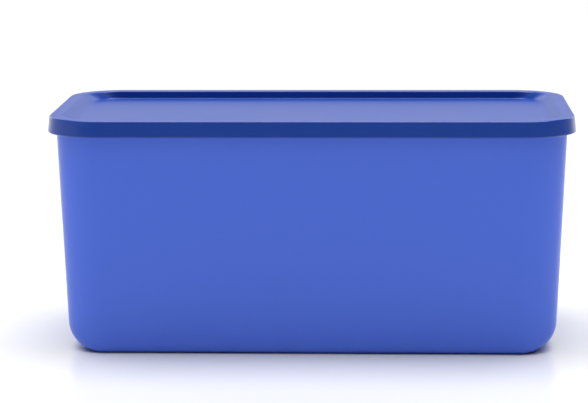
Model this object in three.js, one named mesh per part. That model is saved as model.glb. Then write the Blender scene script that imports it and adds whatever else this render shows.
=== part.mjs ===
// A shut storage container: a drafted tub with a beaded rim, and the skirted lid that presses over it.
// Millimetres, +Z up, +X along the long side, origin at the middle of the base.
import * as THREE from "three";

// Overall form
const LID_WIDTH = 300;
const LID_DEPTH = 150;
const OVERALL_HEIGHT = 134.8;
const LID_CORNER_RADIUS = 31.5;

// Lid: one moulding of even wall, with a sunk panel inside a raised border. The recess's wall is steep along
// the long sides, and slopes gently at the ends.
const LID_WALL = 1.6;
const SKIRT_HEIGHT = 9.4;
const SKIRT_FLARE = 1;
const SKIRT_EDGE_RADIUS = 0.9;
const HEM_ROUNDING = 0.7;
const BORDER_WIDTH = 7;
const PANEL_DEPTH = 4.5;
const END_WALL = { lean: 7, innerRadius: 4, footRadius: 6 };
const SIDE_WALL = { lean: 0.5, innerRadius: 0.8, footRadius: 0.8 };
const CHANNEL_ROUNDING = 0.5;

// Tub: filled out to its outer form, since nothing inside it can be seen. Its base edge is rounded widely
// under the two ends, and more tightly under the long sides.
const TUB_MARGIN = 4.6;
const DRAFT_DEGREES = 2.4;
const END_BASE_FILLET = 16;
const SIDE_BASE_FILLET = 5;
const FOOT_WIDTH = 8;
const BASE_HOLLOW = 1;
const RIM_BEAD_HEIGHT = 5.2;
const RIM_BEAD_ROUNDING = 1.2;
const RIM_TOP_ROUNDING = 0.8;

// How closely the parts sit, and how finely their curves are stepped
const FIT_GAP = 0.3;
const CHORD_TOLERANCE = 0.06;
const SMALLEST_CORNER = 3;
const RECESS_EDGE_STEPS = 4;

// The two plastics: a mid blue tub and a darker blue lid, both with a satin face
const TUB_COLOUR = 0x4663c4;
const LID_COLOUR = 0x22409b;
const SATIN_ROUGHNESS = 0.45;

// Heights that follow from the sizes above
const HEM_HEIGHT = OVERALL_HEIGHT - SKIRT_HEIGHT;
const PANEL_HEIGHT = OVERALL_HEIGHT - PANEL_DEPTH;
const PANEL_UNDERSIDE = PANEL_HEIGHT - LID_WALL;
const CHANNEL_CEILING = OVERALL_HEIGHT - LID_WALL;
const TUB_RIM_HEIGHT = CHANNEL_CEILING - FIT_GAP;
const TUB_FILL_HEIGHT = PANEL_UNDERSIDE - FIT_GAP;
const BEAD_UNDERSIDE = TUB_RIM_HEIGHT - RIM_BEAD_HEIGHT;

// The border's inner edge, as an inset from the lid's outline at the hem
const BORDER_INNER_INSET = SKIRT_FLARE + BORDER_WIDTH;

// The tub's corners share their centres with the lid's
const TUB_CORNER_RADIUS = LID_CORNER_RADIUS - TUB_MARGIN;

const QUARTER_TURN = Math.PI / 2;

// The number of straight steps that keep an arc within the chord tolerance.
function arcSteps(radius, turn) {
  const widestStep = 2 * Math.acos(1 - CHORD_TOLERANCE / radius);
  return Math.max(2, Math.ceil(turn / widestStep));
}

// Both parts step their corners alike, so that the gap between them stays even.
const CORNER_STEPS = arcSteps(LID_CORNER_RADIUS, QUARTER_TURN);

// A corner of a section: how far in from the outline, how high, how round, and in how many steps. The steps
// keep the chord tolerance unless they are given.
function corner(inset, height, radius = 0, steps = 0) {
  return { point: new THREE.Vector2(inset, height), radius, steps };
}

// The arc that rounds the corner at `here`, tangent to the straights that lead to its two neighbours.
function roundedCorner(before, here, after, radius, steps) {
  const back = before.clone().sub(here).normalize();
  const onward = after.clone().sub(here).normalize();
  const halfAngle = Math.acos(back.dot(onward)) / 2;
  const middle = back.clone().add(onward).normalize();
  const centre = here.clone().addScaledVector(middle, radius / Math.sin(halfAngle));
  const reach = radius / Math.tan(halfAngle);
  const start = here.clone().addScaledVector(back, reach).sub(centre);
  const end = here.clone().addScaledVector(onward, reach).sub(centre);
  const clockwise = back.cross(onward) > 0;
  const from = start.angle();
  const to = end.angle();
  const arc = new THREE.EllipseCurve(centre.x, centre.y, radius, radius, from, to, clockwise);
  return arc.getPoints(steps || arcSteps(radius, Math.PI - 2 * halfAngle));
}

// A section line: straights between the corners, with each inner corner rounded by its own radius.
function sectionLine(corners) {
  const line = [];
  corners.forEach(({ point, radius, steps }, i) => {
    if (radius > 0) {
      line.push(...roundedCorner(corners[i - 1].point, point, corners[i + 1].point, radius, steps));
    } else {
      line.push(point);
    }
  });
  return line;
}

// The radius that a corner of the outline keeps once it is drawn in by an inset. It tightens down to the
// smallest radius, and opens out again past the point where the outline's own corner has run out.
function insetRadius(cornerRadius, inset) {
  const spare = cornerRadius - inset;
  return Math.max(spare, SMALLEST_CORNER, SMALLEST_CORNER - spare);
}

// A loop round a rounded rectangle, drawn in at its ends by one section's inset and at its sides by
// another's. Its height passes from the one to the other with the squared cosine of the direction.
function planLoop(plan, atEnd, atSide) {
  const radiusX = insetRadius(plan.cornerRadius, atEnd.x);
  const radiusY = insetRadius(plan.cornerRadius, atSide.x);
  const reachX = plan.width / 2 - atEnd.x - radiusX;
  const reachY = plan.depth / 2 - atSide.x - radiusY;
  const quadrants = [[1, 1], [-1, 1], [-1, -1], [1, -1]];
  return quadrants.flatMap(([sideX, sideY], turn) => {
    const loop = [];
    for (let step = 0; step <= CORNER_STEPS; step++) {
      const direction = (turn + step / CORNER_STEPS) * QUARTER_TURN;
      const endShare = Math.cos(direction) ** 2;
      const x = sideX * reachX + radiusX * Math.cos(direction);
      const y = sideY * reachY + radiusY * Math.sin(direction);
      loop.push(new THREE.Vector3(x, y, atEnd.y * endShare + atSide.y * (1 - endShare)));
    }
    return loop;
  });
}

// Carries a section once round a rounded rectangle, passing from the end's section to the side's in the
// corners, and closes it with a flat face above and below. Both sections have the same number of points,
// and run from the underside, by the outside, to the top.
function sweptRound(plan, endSection, sideSection) {
  const loops = endSection.map((atEnd, i) => planLoop(plan, atEnd, sideSection[i]));
  const loopSize = loops[0].length;
  const lowMiddle = loops.length * loopSize;
  const highMiddle = lowMiddle + 1;
  const points = loops.flat();
  points.push(new THREE.Vector3(0, 0, endSection[0].y));
  points.push(new THREE.Vector3(0, 0, endSection[endSection.length - 1].y));
  const triangles = [];
  for (let i = 0; i < loopSize; i++) {
    const next = (i + 1) % loopSize;
    triangles.push(lowMiddle, next, i);
    for (let loop = 0; loop < loops.length - 1; loop++) {
      const here = loop * loopSize;
      const above = here + loopSize;
      triangles.push(here + i, here + next, above + next);
      triangles.push(here + i, above + next, above + i);
    }
    const last = lowMiddle - loopSize;
    triangles.push(highMiddle, last + i, last + next);
  }
  const geometry = new THREE.BufferGeometry().setFromPoints(points);
  geometry.setIndex(triangles);
  geometry.computeVertexNormals();
  return geometry;
}

// How far the corners of a recess wall move sideways, for each millimetre that its faces are offset.
function mitre(wall) {
  return Math.tan(Math.atan2(PANEL_DEPTH, wall.lean) / 2);
}

// The lid's section with the given recess wall: panel underside, channel for the tub's rim, skirt, border
// and sunk panel.
function lidSection(wall) {
  const shift = LID_WALL * mitre(wall);
  const panelInset = BORDER_INNER_INSET + wall.lean;
  const flatPanelInset = panelInset + 2 * wall.footRadius * mitre(wall);
  return sectionLine([
    corner(flatPanelInset, PANEL_UNDERSIDE),
    corner(panelInset - shift, PANEL_UNDERSIDE, wall.footRadius + LID_WALL, RECESS_EDGE_STEPS),
    corner(BORDER_INNER_INSET - shift, CHANNEL_CEILING, CHANNEL_ROUNDING),
    corner(SKIRT_FLARE + LID_WALL, CHANNEL_CEILING, CHANNEL_ROUNDING),
    corner(LID_WALL, HEM_HEIGHT, HEM_ROUNDING),
    corner(0, HEM_HEIGHT, HEM_ROUNDING),
    corner(SKIRT_FLARE, OVERALL_HEIGHT, SKIRT_EDGE_RADIUS),
    corner(BORDER_INNER_INSET, OVERALL_HEIGHT, wall.innerRadius, RECESS_EDGE_STEPS),
    corner(panelInset, PANEL_HEIGHT, wall.footRadius, RECESS_EDGE_STEPS),
    corner(flatPanelInset, PANEL_HEIGHT),
  ]);
}

// The tub's section, with its base edge rounded by the given radius: shallow hollow under the base, foot,
// rounded base edge, drafted wall and beaded rim. The rim's inner slope follows the lid's recess wall.
function tubSection(baseFillet, wall) {
  const lean = Math.tan(THREE.MathUtils.degToRad(DRAFT_DEGREES));
  const wallInset = (height) => (TUB_RIM_HEIGHT - height) * lean;
  const baseEdgeInset = wallInset(0);
  const baseSteps = arcSteps(END_BASE_FILLET, QUARTER_TURN);
  const footInnerInset = baseEdgeInset + baseFillet + FOOT_WIDTH;
  const beadInset = SKIRT_FLARE + LID_WALL + FIT_GAP - TUB_MARGIN;
  const rimInnerInset = BORDER_INNER_INSET - (LID_WALL + FIT_GAP) * mitre(wall) - TUB_MARGIN;
  return sectionLine([
    corner(footInnerInset + BASE_HOLLOW, BASE_HOLLOW),
    corner(footInnerInset, 0),
    corner(baseEdgeInset, 0, baseFillet, baseSteps),
    corner(wallInset(BEAD_UNDERSIDE), BEAD_UNDERSIDE),
    corner(beadInset, BEAD_UNDERSIDE + RIM_BEAD_ROUNDING, RIM_BEAD_ROUNDING),
    corner(beadInset, TUB_RIM_HEIGHT, RIM_TOP_ROUNDING),
    corner(rimInnerInset, TUB_RIM_HEIGHT, RIM_TOP_ROUNDING),
    corner(rimInnerInset + wall.lean, TUB_FILL_HEIGHT),
  ]);
}

// A moulding of one plastic, as a named mesh, from its section at the ends and at the long sides.
function moulding(name, plan, endSection, sideSection, color) {
  const material = new THREE.MeshStandardMaterial({ color, roughness: SATIN_ROUGHNESS, metalness: 0 });
  const mesh = new THREE.Mesh(sweptRound(plan, endSection, sideSection), material);
  mesh.name = name;
  return mesh;
}

const lidPlan = { width: LID_WIDTH, depth: LID_DEPTH, cornerRadius: LID_CORNER_RADIUS };
const tubPlan = {
  width: LID_WIDTH - 2 * TUB_MARGIN,
  depth: LID_DEPTH - 2 * TUB_MARGIN,
  cornerRadius: TUB_CORNER_RADIUS,
};

const tubAtEnd = tubSection(END_BASE_FILLET, END_WALL);
const tubAtSide = tubSection(SIDE_BASE_FILLET, SIDE_WALL);
const container = new THREE.Group();
container.add(moulding("tub", tubPlan, tubAtEnd, tubAtSide, TUB_COLOUR));
container.add(moulding("lid", lidPlan, lidSection(END_WALL), lidSection(SIDE_WALL), LID_COLOUR));

export default container;
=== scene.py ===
# %% [markdown]
# # A shut storage container with a press-down lid
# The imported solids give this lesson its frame: where the tub and the lid are, and how big. They are faceted,
# so each one gets a fine moulded surface here, worked out with numpy from the same kind of section line.
# The surfaces then get a satin plastic, and the container is set on a white sweep in soft light.

import math

import bpy
import numpy as np
from mathutils import Matrix, Vector


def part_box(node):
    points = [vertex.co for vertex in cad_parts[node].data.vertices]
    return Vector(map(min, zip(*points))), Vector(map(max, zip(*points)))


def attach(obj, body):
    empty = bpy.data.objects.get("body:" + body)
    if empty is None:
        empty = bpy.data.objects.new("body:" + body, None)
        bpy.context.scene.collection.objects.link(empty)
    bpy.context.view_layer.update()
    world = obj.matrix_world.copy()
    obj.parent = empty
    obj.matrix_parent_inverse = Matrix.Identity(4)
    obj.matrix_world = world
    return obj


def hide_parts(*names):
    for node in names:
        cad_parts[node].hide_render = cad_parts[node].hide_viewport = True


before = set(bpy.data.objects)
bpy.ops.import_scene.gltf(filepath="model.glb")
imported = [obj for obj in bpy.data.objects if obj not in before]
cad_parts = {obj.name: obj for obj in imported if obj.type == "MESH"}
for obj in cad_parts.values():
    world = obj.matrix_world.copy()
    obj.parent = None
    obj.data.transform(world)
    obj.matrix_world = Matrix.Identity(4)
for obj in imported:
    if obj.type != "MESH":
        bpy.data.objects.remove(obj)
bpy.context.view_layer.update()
MM = 0.001
tub_low, tub_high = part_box("tub")
lid_low, lid_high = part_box("lid")
print("tub", tuple(tub_low), tuple(tub_high))
print("lid", tuple(lid_low), tuple(lid_high))

# %% [markdown]
# ## The camera
# A long lens from a little above, turned slightly to the left of the container, is what the picture's lid
# shows: its left end is seen more from the side than its right end. The place and the turns were found by
# matching the outline of a simple box with rounded corners to the picture's outline.

# %% Camera
PICTURE_WIDTH = 588
SENSOR_WIDTH = 36.0
FOCAL_PIXELS = 2342.9
CAMERA_PLACE = Vector((0.0453, -1.3628, 0.3072))
CAMERA_YAW = math.radians(-2.396)
CAMERA_PITCH = math.radians(9.567)
CAMERA_ROLL = math.radians(-0.288)
FARTHEST_SEEN = 100.0


def camera_turn(yaw, pitch, roll):
    """Columns are the camera's right, up and backward directions. Yaw turns the level view direction from
    +Y towards +X, pitch tips it down, and roll turns right and up about it."""
    level = Vector((math.sin(yaw), math.cos(yaw), 0))
    level_right = Vector((math.cos(yaw), -math.sin(yaw), 0))
    forward = level * math.cos(pitch) - Vector((0, 0, math.sin(pitch)))
    tipped_up = level * math.sin(pitch) + Vector((0, 0, math.cos(pitch)))
    right = level_right * math.cos(roll) + tipped_up * math.sin(roll)
    up = tipped_up * math.cos(roll) - level_right * math.sin(roll)
    return Matrix((right, up, -forward)).transposed().to_4x4()


lens = bpy.data.cameras.new("camera")
lens.sensor_fit = "HORIZONTAL"
lens.sensor_width = SENSOR_WIDTH
lens.lens = FOCAL_PIXELS * SENSOR_WIDTH / PICTURE_WIDTH
lens.clip_end = FARTHEST_SEEN
camera = bpy.data.objects.new("camera", lens)
bpy.context.scene.collection.objects.link(camera)
camera.matrix_world = Matrix.Translation(CAMERA_PLACE) @ camera_turn(CAMERA_YAW, CAMERA_PITCH, CAMERA_ROLL)
bpy.context.scene.camera = camera
print("lens", round(lens.lens, 1), "mm")

# %% [markdown]
# ## Section lines
# Both mouldings are one section carried round a rounded rectangle. The real mould is cut the same way, by a
# tool that follows the outline, so the wall, the edges and the roundings run evenly through the corners.
# A section could be a curve with a bevel, but that gives little say over where the points go. Here it is a
# list of corners, each with its own rounding, and numpy turns it into a fine line of points.

# %% Section helpers
ARC_STEPS = 12


def eased(steps):
    """Shares from 0 to 1 that bunch at both ends, half a cosine wave long, so that a flat stretch has
    narrow faces beside the roundings it meets."""
    return (1 - np.cos(np.linspace(0, math.pi, steps + 1))) / 2


def rounded(before, here, after, radius):
    """The arc that touches both straights at a corner: its centre lies on the corner's bisector, at the
    radius over the sine of the half angle, and it turns through what the corner leaves of a half turn.
    Every arc has the same number of steps, so that two sections can be blended point by point."""
    back = (before - here) / np.linalg.norm(before - here)
    onward = (after - here) / np.linalg.norm(after - here)
    half_angle = math.acos(np.clip(back @ onward, -1, 1)) / 2
    middle = (back + onward) / np.linalg.norm(back + onward)
    centre = here + middle * radius / math.sin(half_angle)
    start = here + back * radius / math.tan(half_angle) - centre
    turn = math.pi - 2 * half_angle
    side = np.sign(onward[0] * back[1] - onward[1] * back[0])
    angles = side * np.linspace(0, turn, ARC_STEPS + 1)
    cosines, sines = np.cos(angles), np.sin(angles)
    sideways = start[0] * cosines - start[1] * sines
    upwards = start[0] * sines + start[1] * cosines
    return centre + np.stack([sideways, upwards], 1)


def section_line(corners, flat_steps):
    """Points (inset, height) along straights and arcs. corners holds (inset, height, radius), and each
    straight is cut into flat_steps eased steps."""
    places = [np.array(c[:2], float) for c in corners]
    bends = [places[0][None]]
    for i in range(1, len(corners) - 1):
        radius = corners[i][2]
        bends.append(rounded(places[i - 1], places[i], places[i + 1], radius) if radius else places[i][None])
    bends.append(places[-1][None])
    pieces = [bends[0]]
    for previous, bend in zip(bends, bends[1:]):
        start, end = previous[-1], bend[0]
        pieces.append(start + (end - start) * eased(flat_steps)[1:-1, None])
        pieces.append(bend)
    return np.concatenate(pieces)


# %% [markdown]
# ## One sweep for both mouldings
# Every loop of the sweep is a rounded rectangle, drawn in from the outline by the section's inset. A loop is
# four arcs and four straights, and one formula covers them all: the point is the corner's centre plus the
# radius along a direction, where the straights keep the direction still and let the centre slide across.
# The flat ends close with the last loop shrunk towards the middle, down to a single point.

# %% Sweep
CORNER_STEPS = 36
LONG_SIDE_STEPS = 26
SHORT_SIDE_STEPS = 16
CLOSING_STEPS = 22
TIGHTEST_CORNER = 3 * MM


def loop_pattern():
    """For each point of a loop: the signs that carry the corner's centre, and the direction of its radius.
    Four quarter arcs, with eased straights between them where the centre slides to the next corner."""
    signs, directions = [], []
    corner_signs = np.array([(1, 1), (-1, 1), (-1, -1), (1, -1)], float)
    side_steps = (LONG_SIDE_STEPS, SHORT_SIDE_STEPS, LONG_SIDE_STEPS, SHORT_SIDE_STEPS)
    for turn, steps in enumerate(side_steps):
        here, after = corner_signs[turn], corner_signs[(turn + 1) % 4]
        angles = (turn + np.linspace(0, 1, CORNER_STEPS + 1)) * math.pi / 2
        arc = np.stack([np.cos(angles), np.sin(angles)], 1)
        slide = eased(steps)[1:-1, None]
        signs += [np.repeat(here[None], len(arc), 0), here + (after - here) * slide]
        directions += [arc, np.repeat(arc[-1:], len(slide), 0)]
    return np.concatenate(signs), np.concatenate(directions)


def loops(half_sizes, corner_radius, end_section, side_section):
    """Loops of points: across X the inset and the radius are the end section's, across Y the side
    section's, and the height passes from one to the other with the squared cosine of the direction. A
    radius shrinks with its inset, and opens out again once the outline's own corner has run out."""
    signs, directions = loop_pattern()
    insets = np.stack([end_section[:, 0], side_section[:, 0]], 1)[:, None]
    spare = corner_radius - insets
    radius = np.maximum(np.maximum(spare, TIGHTEST_CORNER), TIGHTEST_CORNER - spare)
    plan = signs * (np.asarray(half_sizes) - insets - radius) + directions * radius
    end_share = directions[:, 0] ** 2
    heights = end_section[:, 1:] * end_share + side_section[:, 1:] * (1 - end_share)
    return np.concatenate([plan, heights[..., None]], 2)


def sweep(name, half_sizes, corner_radius, sections, low_dish, high_dish):
    """Carries the sections (inset, height) of the ends and the long sides round the plan. Both rims close
    by loops that shrink as 1 to 0, and a dish shifts the middle by 1 minus the square of that share."""
    skin = loops(half_sizes, corner_radius, *sections)
    shares = np.linspace(0, 1, CLOSING_STEPS + 1)[1:-1]
    rims = []
    for edge, dish in ((skin[0], low_dish), (skin[-1], high_dish)):
        shrunk = edge[None] * shares[:, None, None]
        shrunk[..., 2] = edge[0, 2] + dish * (1 - shares[:, None] ** 2)
        rims.append(shrunk)
    grid = np.concatenate([rims[0], skin, rims[1][::-1]])
    rows, around = grid.shape[:2]
    poles = np.array([(0, 0, skin[0, 0, 2] + low_dish), (0, 0, skin[-1, 0, 2] + high_dish)])
    points = np.concatenate([grid.reshape(-1, 3), poles])
    row, column = np.meshgrid(np.arange(rows - 1), np.arange(around), indexing="ij")
    onward = (column + 1) % around
    here, above = row * around, (row + 1) * around
    quads = np.stack([here + column, here + onward, above + onward, above + column], -1).reshape(-1, 4)
    ring = np.arange(around)
    beyond = (ring + 1) % around
    last = (rows - 1) * around
    low_fan = np.stack([np.full(around, rows * around), beyond, ring], 1)
    high_fan = np.stack([np.full(around, rows * around + 1), last + ring, last + beyond], 1)
    mesh = bpy.data.meshes.new(name)
    mesh.from_pydata(points.tolist(), [], quads.tolist() + low_fan.tolist() + high_fan.tolist())
    mesh.polygons.foreach_set("use_smooth", np.ones(len(mesh.polygons), bool))
    mesh.update()
    made = bpy.data.objects.new(name, mesh)
    bpy.context.scene.collection.objects.link(made)
    print(name, len(mesh.vertices), "points,", len(mesh.polygons), "faces")
    return made


# %% [markdown]
# ## The lid
# The real lid is one moulding of even wall: a skirt that flares a little towards its hem, a raised border,
# and a panel sunk inside the border so that another box can stand in it. The recess's wall is steep along
# the sides, where the back one shows as a dark line, and slopes gently at the ends, where it hardly shows.
# So the lid takes two sections, and the sweep blends them in the corners. The panel is faintly dished, as
# thin mouldings are once they have cooled.

# %% Lid surface
LID_WALL = 1.6 * MM
SKIRT_FLARE = 1.0 * MM
SKIRT_EDGE = 0.9 * MM
HEM_ROUNDING = 0.8 * MM
BORDER_WIDTH = 7.0 * MM
PANEL_DEPTH = 4.5 * MM
END_WALL_LEAN = 7.0 * MM
END_INNER_EDGE = 4.0 * MM
END_PANEL_FOOT = 6.0 * MM
SIDE_WALL_LEAN = 0.5 * MM
SIDE_INNER_EDGE = 0.8 * MM
SIDE_PANEL_FOOT = 0.5 * MM
CHANNEL_ROUNDING = 0.5 * MM
LID_CORNER = 31.5 * MM
LID_HALF_SIZES = (0.150, 0.075)
LID_FLAT_STEPS = 8
PANEL_DISH = -0.25 * MM

border_inner = SKIRT_FLARE + BORDER_WIDTH
lid_top = lid_high.z
hem = lid_low.z
panel_top = lid_top - PANEL_DEPTH


def mitre(wall_lean):
    """How far the recess wall's corners move sideways for each unit that its faces are offset: the tangent
    of half the wall's slope."""
    return math.tan(math.atan2(PANEL_DEPTH, wall_lean) / 2)


def lid_section(wall_lean, inner_edge, foot):
    """Panel underside, channel, hem, skirt, border, recess wall and panel. The wall stays LID_WALL thick."""
    panel_edge = border_inner + wall_lean
    panel_flat = panel_edge + 2 * foot * mitre(wall_lean)
    shift = LID_WALL * mitre(wall_lean)
    corners = [
        (panel_flat, panel_top - LID_WALL, 0),
        (panel_edge - shift, panel_top - LID_WALL, foot + LID_WALL),
        (border_inner - shift, lid_top - LID_WALL, CHANNEL_ROUNDING),
        (SKIRT_FLARE + LID_WALL, lid_top - LID_WALL, CHANNEL_ROUNDING),
        (LID_WALL, hem, HEM_ROUNDING),
        (0, hem, HEM_ROUNDING),
        (SKIRT_FLARE, lid_top, SKIRT_EDGE),
        (border_inner, lid_top, inner_edge),
        (panel_edge, panel_top, foot),
        (panel_flat, panel_top, 0),
    ]
    return section_line(corners, LID_FLAT_STEPS)


lid_sections = (
    lid_section(END_WALL_LEAN, END_INNER_EDGE, END_PANEL_FOOT),
    lid_section(SIDE_WALL_LEAN, SIDE_INNER_EDGE, SIDE_PANEL_FOOT),
)
lid = sweep("lid_moulding", LID_HALF_SIZES, LID_CORNER, lid_sections, 0, PANEL_DISH)
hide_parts("lid")
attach(lid, "root")

# %% [markdown]
# ## The tub
# The tub's walls lean in towards the base by a little over two degrees, so that it leaves its mould. Its
# base edge is rounded widely under the two ends and tightly under the long sides, so it takes two
# sections as the lid does. Under the skirt a bead runs round the rim for the lid to
# grip. The base stands on a flat foot round a shallow hollow. The shut tub can't be seen into, so its
# surface closes straight across the top.

# %% Tub surface
TUB_MARGIN = 4.6 * MM
TUB_DRAFT = math.radians(2.4)
END_BASE_ROUNDING = 16 * MM
SIDE_BASE_ROUNDING = 5 * MM
FOOT_WIDTH = 8 * MM
FOOT_EDGE = 0.6 * MM
BASE_HOLLOW = 1 * MM
HOLLOW_FLAT = 4 * MM
BEAD_HEIGHT = 5.2 * MM
BEAD_ROUNDING = 1.2 * MM
RIM_ROUNDING = 0.8 * MM
FIT_GAP = 0.3 * MM
TUB_FLAT_STEPS = 10

tub_top = tub_high.z
tub_half_sizes = tuple(size - TUB_MARGIN for size in LID_HALF_SIZES)
base_inset = tub_top * math.tan(TUB_DRAFT)
bead_foot = tub_top - BEAD_HEIGHT
bead_inset = SKIRT_FLARE + LID_WALL + FIT_GAP - TUB_MARGIN
fill_top = panel_top - LID_WALL - FIT_GAP


def tub_section(base_rounding, wall_lean):
    """Hollow, foot, rounded base edge, leaning wall and beaded rim, from the underside up. The rim's inner
    slope follows the lid's recess wall with an even gap."""
    rim_inner = border_inner - (LID_WALL + FIT_GAP) * mitre(wall_lean) - TUB_MARGIN
    foot_inner = base_inset + base_rounding + FOOT_WIDTH
    corners = [
        (foot_inner + HOLLOW_FLAT, BASE_HOLLOW, 0),
        (foot_inner + BASE_HOLLOW, BASE_HOLLOW, FOOT_EDGE),
        (foot_inner, 0, FOOT_EDGE),
        (base_inset, 0, base_rounding),
        ((tub_top - bead_foot) * math.tan(TUB_DRAFT), bead_foot, 0),
        (bead_inset, bead_foot + BEAD_ROUNDING, BEAD_ROUNDING),
        (bead_inset, tub_top, RIM_ROUNDING),
        (rim_inner, tub_top, RIM_ROUNDING),
        (rim_inner + wall_lean, fill_top, 0),
    ]
    return section_line(corners, TUB_FLAT_STEPS)


tub_sections = (
    tub_section(END_BASE_ROUNDING, END_WALL_LEAN),
    tub_section(SIDE_BASE_ROUNDING, SIDE_WALL_LEAN),
)
tub = sweep("tub_moulding", tub_half_sizes, LID_CORNER - TUB_MARGIN, tub_sections, 0, 0)
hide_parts("tub")
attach(tub, "root")

# %% [markdown]
# ## Sums in shader nodes
# A material is easier to read as a sum than as a web of nodes. A small class wraps a node's output, and each
# operator on it adds the Math node that does the sum. Every other node comes from one method, which sets the
# node's own settings first and then fills its inputs with numbers or links.

# %% Node helpers
class Wire:
    """A node's output that can be used in sums."""

    def __init__(self, bench, socket):
        self.bench = bench
        self.socket = socket

    def sum_node(self, operation, first, second):
        return self.bench.node("ShaderNodeMath", {"operation": operation}, {0: first, 1: second})

    def __add__(self, other):
        return self.sum_node("ADD", self, other)

    def __radd__(self, other):
        return self.sum_node("ADD", other, self)

    def __sub__(self, other):
        return self.sum_node("SUBTRACT", self, other)

    def __rsub__(self, other):
        return self.sum_node("SUBTRACT", other, self)

    def __mul__(self, other):
        return self.sum_node("MULTIPLY", self, other)

    def __abs__(self):
        return self.bench.node("ShaderNodeMath", {"operation": "ABSOLUTE"}, {0: self})


class Bench:
    """A node tree that is emptied, and then filled by one method."""

    def __init__(self, tree):
        self.tree = tree
        tree.nodes.clear()

    def node(self, kind, settings=None, inputs=None, output=0):
        made = self.tree.nodes.new(kind)
        for name, value in (settings or {}).items():
            setattr(made, name, value)
        for name, value in (inputs or {}).items():
            if isinstance(value, Wire):
                self.tree.links.new(value.socket, made.inputs[name])
            else:
                made.inputs[name].default_value = value
        return Wire(self, made.outputs[output]) if made.outputs else None


# %% [markdown]
# ## Satin plastic
# Moulded polypropylene is coloured all through, so its colour hardly changes over the surface. What gives it
# away is its sheen: soft, even, and stronger where the surface turns away. Two noises on object coordinates
# do the rest. A fine one is the grain that the mould's blasted steel leaves, and a wide one is the faint
# waviness of a thin wall, which also shifts the roughness and the colour by a hair.

# %% Plastics
GRAIN_SCALE = 1500.0
GRAIN_HEIGHT = 0.008 * MM
WAVE_SCALE = 22.0
WAVE_HEIGHT = 0.12 * MM
WAVE_TINT = 0.35
WAVE_ROUGHNESS = 0.06
GRAIN_DETAIL = 2.0
WAVE_DETAIL = 1.0
NOISE_MIDDLE = 0.5
PLASTIC_INDEX = 1.5
MIX_FACTOR, MIX_FIRST, MIX_SECOND, MIX_RESULT = 0, 6, 7, 2


def satin_plastic(name, colour, pale, roughness):
    """Base colour that drifts towards a paler one with the wide noise, roughness that drifts with it, and a
    bump whose height is grain plus waviness."""
    material = bpy.data.materials.new(name)
    material.use_nodes = True
    bench = Bench(material.node_tree)
    place = bench.node("ShaderNodeTexCoord", output="Object")
    grain_inputs = {"Vector": place, "Scale": GRAIN_SCALE, "Detail": GRAIN_DETAIL}
    wave_inputs = {"Vector": place, "Scale": WAVE_SCALE, "Detail": WAVE_DETAIL}
    grain = bench.node("ShaderNodeTexNoise", inputs=grain_inputs)
    wave = bench.node("ShaderNodeTexNoise", inputs=wave_inputs)
    tint = bench.node(
        "ShaderNodeMix",
        {"data_type": "RGBA"},
        {MIX_FACTOR: wave * WAVE_TINT, MIX_FIRST: (*colour, 1), MIX_SECOND: (*pale, 1)},
        output=MIX_RESULT,
    )
    height = grain * GRAIN_HEIGHT + wave * WAVE_HEIGHT
    bump = bench.node("ShaderNodeBump", inputs={"Height": height, "Distance": 1.0, "Strength": 1.0})
    shader = bench.node(
        "ShaderNodeBsdfPrincipled",
        inputs={
            "Base Color": tint,
            "Roughness": roughness + (wave - NOISE_MIDDLE) * WAVE_ROUGHNESS,
            "IOR": PLASTIC_INDEX,
            "Normal": bump,
        },
    )
    bench.node("ShaderNodeOutputMaterial", inputs={"Surface": shader})
    return material


TUB_BLUE, TUB_PALE = (0.0600, 0.1570, 0.800), (0.0680, 0.1700, 0.816)
LID_BLUE, LID_PALE = (0.0045, 0.0470, 0.322), (0.0060, 0.0545, 0.341)
TUB_ROUGHNESS = 0.42
LID_ROUGHNESS = 0.33
tub.data.materials.append(satin_plastic("tub_plastic", TUB_BLUE, TUB_PALE, TUB_ROUGHNESS))
lid.data.materials.append(satin_plastic("lid_plastic", LID_BLUE, LID_PALE, LID_ROUGHNESS))
print("finishes", [slot.material.name for piece in (tub, lid) for slot in piece.material_slots])

# %% [markdown]
# ## A pale board
# The container stands on a smooth pale board, which shows as almost white round it and takes a bluish
# shadow from the front wall. A plane with a diffuse shader gives the shadow but not its tinge. A slightly
# glossy one mirrors the blue wall softly along the base, so the board is a Principled shader with a low
# roughness.

# %% Floor
FLOOR_HALF = 20.0
FLOOR_PALE = (0.74, 0.74, 0.748, 1)
FLOOR_ROUGHNESS = 0.25

floor_mesh = bpy.data.meshes.new("floor")
floor_mesh.from_pydata([(-FLOOR_HALF, -FLOOR_HALF, 0), (FLOOR_HALF, -FLOOR_HALF, 0),
                        (FLOOR_HALF, FLOOR_HALF, 0), (-FLOOR_HALF, FLOOR_HALF, 0)], [], [(0, 1, 2, 3)])
floor = bpy.data.objects.new("floor", floor_mesh)
bpy.context.scene.collection.objects.link(floor)
board = bpy.data.materials.new("floor_board")
board.use_nodes = True
board_bench = Bench(board.node_tree)
board_shader = board_bench.node(
    "ShaderNodeBsdfPrincipled",
    inputs={"Base Color": FLOOR_PALE, "Roughness": FLOOR_ROUGHNESS},
)
board_bench.node("ShaderNodeOutputMaterial", inputs={"Surface": board_shader})
floor_mesh.materials.append(board)
print("board", 2 * FLOOR_HALF, "m wide")

# %% [markdown]
# ## Studio light from the world
# The picture is lit as such goods usually are: a large soft box overhead and a little behind, a white
# backdrop, a lamp at each side of it that brightens the round edges, a pale wall on the left, and a weak
# fill from the front. Area lights could do that, but then each would show in the gloss as a hard shape. Here
# each lamp is a soft-edged patch of the world instead, given by its bearing, its height above the horizon
# and its strength. The camera sees plain white behind the container, whatever the lamps do.

# %% World directions
LAMP_EDGE = math.radians(3)

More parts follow.
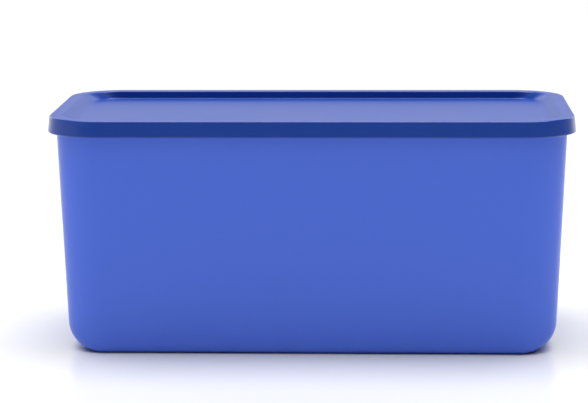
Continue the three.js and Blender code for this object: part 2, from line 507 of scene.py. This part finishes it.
world = bpy.data.worlds.new("studio")
world.use_nodes = True
studio = Bench(world.node_tree)
direction = studio.node("ShaderNodeTexCoord", output="Generated")
parts = studio.node("ShaderNodeSeparateXYZ", inputs={"Vector": direction}).socket.node
to_right, to_back, to_top = (Wire(studio, parts.outputs[axis]) for axis in "XYZ")
elevation = studio.node("ShaderNodeMath", {"operation": "ARCSINE"}, {0: to_top})


def above(value, level):
    """0 below a level and 1 above it, with a smooth step of the lamps' edge width to each side."""
    limits = {"Value": value, "From Min": level - LAMP_EDGE, "From Max": level + LAMP_EDGE}
    return studio.node("ShaderNodeMapRange", {"interpolation_type": "SMOOTHSTEP"}, limits)


def lamp(bearing, half_width, lowest, highest, strength):
    """A patch of light. The bearing is counted from +X towards +Y, and the angle off it is the arc tangent
    of the direction's part across the bearing over its part along it. All angles are in degrees."""
    cosine, sine = math.cos(math.radians(bearing)), math.sin(math.radians(bearing))
    along = to_right * cosine + to_back * sine
    across = to_back * cosine - to_right * sine
    off = abs(studio.node("ShaderNodeMath", {"operation": "ARCTAN2"}, {0: across, 1: along}))
    beside = 1 - above(off, math.radians(half_width))
    between = above(elevation, math.radians(lowest)) - above(elevation, math.radians(highest))
    return beside * between * strength


# %% World lamps
BELOW_HORIZON, LOW_EDGE, HIGH_EDGE, FILL_EDGE = -10, 15, 35, 60
BACKDROP_BEARING, BACKDROP_HALF_WIDTH = 90, 20
RIM_BEARINGS, RIM_HALF_WIDTH = (57.5, 122.5), 12.5
LEFT_WALL_BEARING, LEFT_WALL_HALF_WIDTH = 180, 45
FRONT_FILL_BEARING, FRONT_FILL_HALF_WIDTH = 270, 90
BACKDROP_LOW_STRENGTH = 0.6
BACKDROP_HIGH_STRENGTH = 1.0
RIM_STRENGTH = 2.4
LEFT_WALL_STRENGTH = 0.64
FRONT_FILL_STRENGTH = 1.0
SOFT_BOX_LOWEST = math.radians(FILL_EDGE)
SOFT_BOX_FRONT = -0.15
SOFT_BOX_STRENGTH = 7.5
SOFT_BOX_SPILL = 1.3
WHITE_STRENGTH = 1.0
WHITE = (1, 1, 1, 1)

backdrop = (BACKDROP_BEARING, BACKDROP_HALF_WIDTH)
left_side = (LEFT_WALL_BEARING, LEFT_WALL_HALF_WIDTH)
front_side = (FRONT_FILL_BEARING, FRONT_FILL_HALF_WIDTH)
backdrop_low = lamp(*backdrop, BELOW_HORIZON, LOW_EDGE, BACKDROP_LOW_STRENGTH)
backdrop_high = lamp(*backdrop, LOW_EDGE, HIGH_EDGE, BACKDROP_HIGH_STRENGTH)
rim_lights = sum(
    lamp(bearing, RIM_HALF_WIDTH, BELOW_HORIZON, HIGH_EDGE, RIM_STRENGTH) for bearing in RIM_BEARINGS
)
left_wall = lamp(*left_side, BELOW_HORIZON, LOW_EDGE, LEFT_WALL_STRENGTH)
front_fill = lamp(*front_side, HIGH_EDGE, FILL_EDGE, FRONT_FILL_STRENGTH)
box_share = above(to_back, SOFT_BOX_FRONT)
box_level = box_share * (SOFT_BOX_STRENGTH - SOFT_BOX_SPILL) + SOFT_BOX_SPILL
soft_box = above(elevation, SOFT_BOX_LOWEST) * box_level
strength = backdrop_low + backdrop_high + rim_lights + left_wall + front_fill + soft_box
light = studio.node("ShaderNodeBackground", inputs={"Color": WHITE, "Strength": strength})
white = studio.node("ShaderNodeBackground", inputs={"Color": WHITE, "Strength": WHITE_STRENGTH})
seen = studio.node("ShaderNodeLightPath", output="Is Camera Ray")
either = studio.node("ShaderNodeMixShader", inputs={0: seen, 1: light, 2: white})
studio.node("ShaderNodeOutputWorld", inputs={"Surface": either})
bpy.context.scene.world = world
bpy.context.scene.view_settings.view_transform = "Standard"
print("world nodes", len(world.node_tree.nodes))
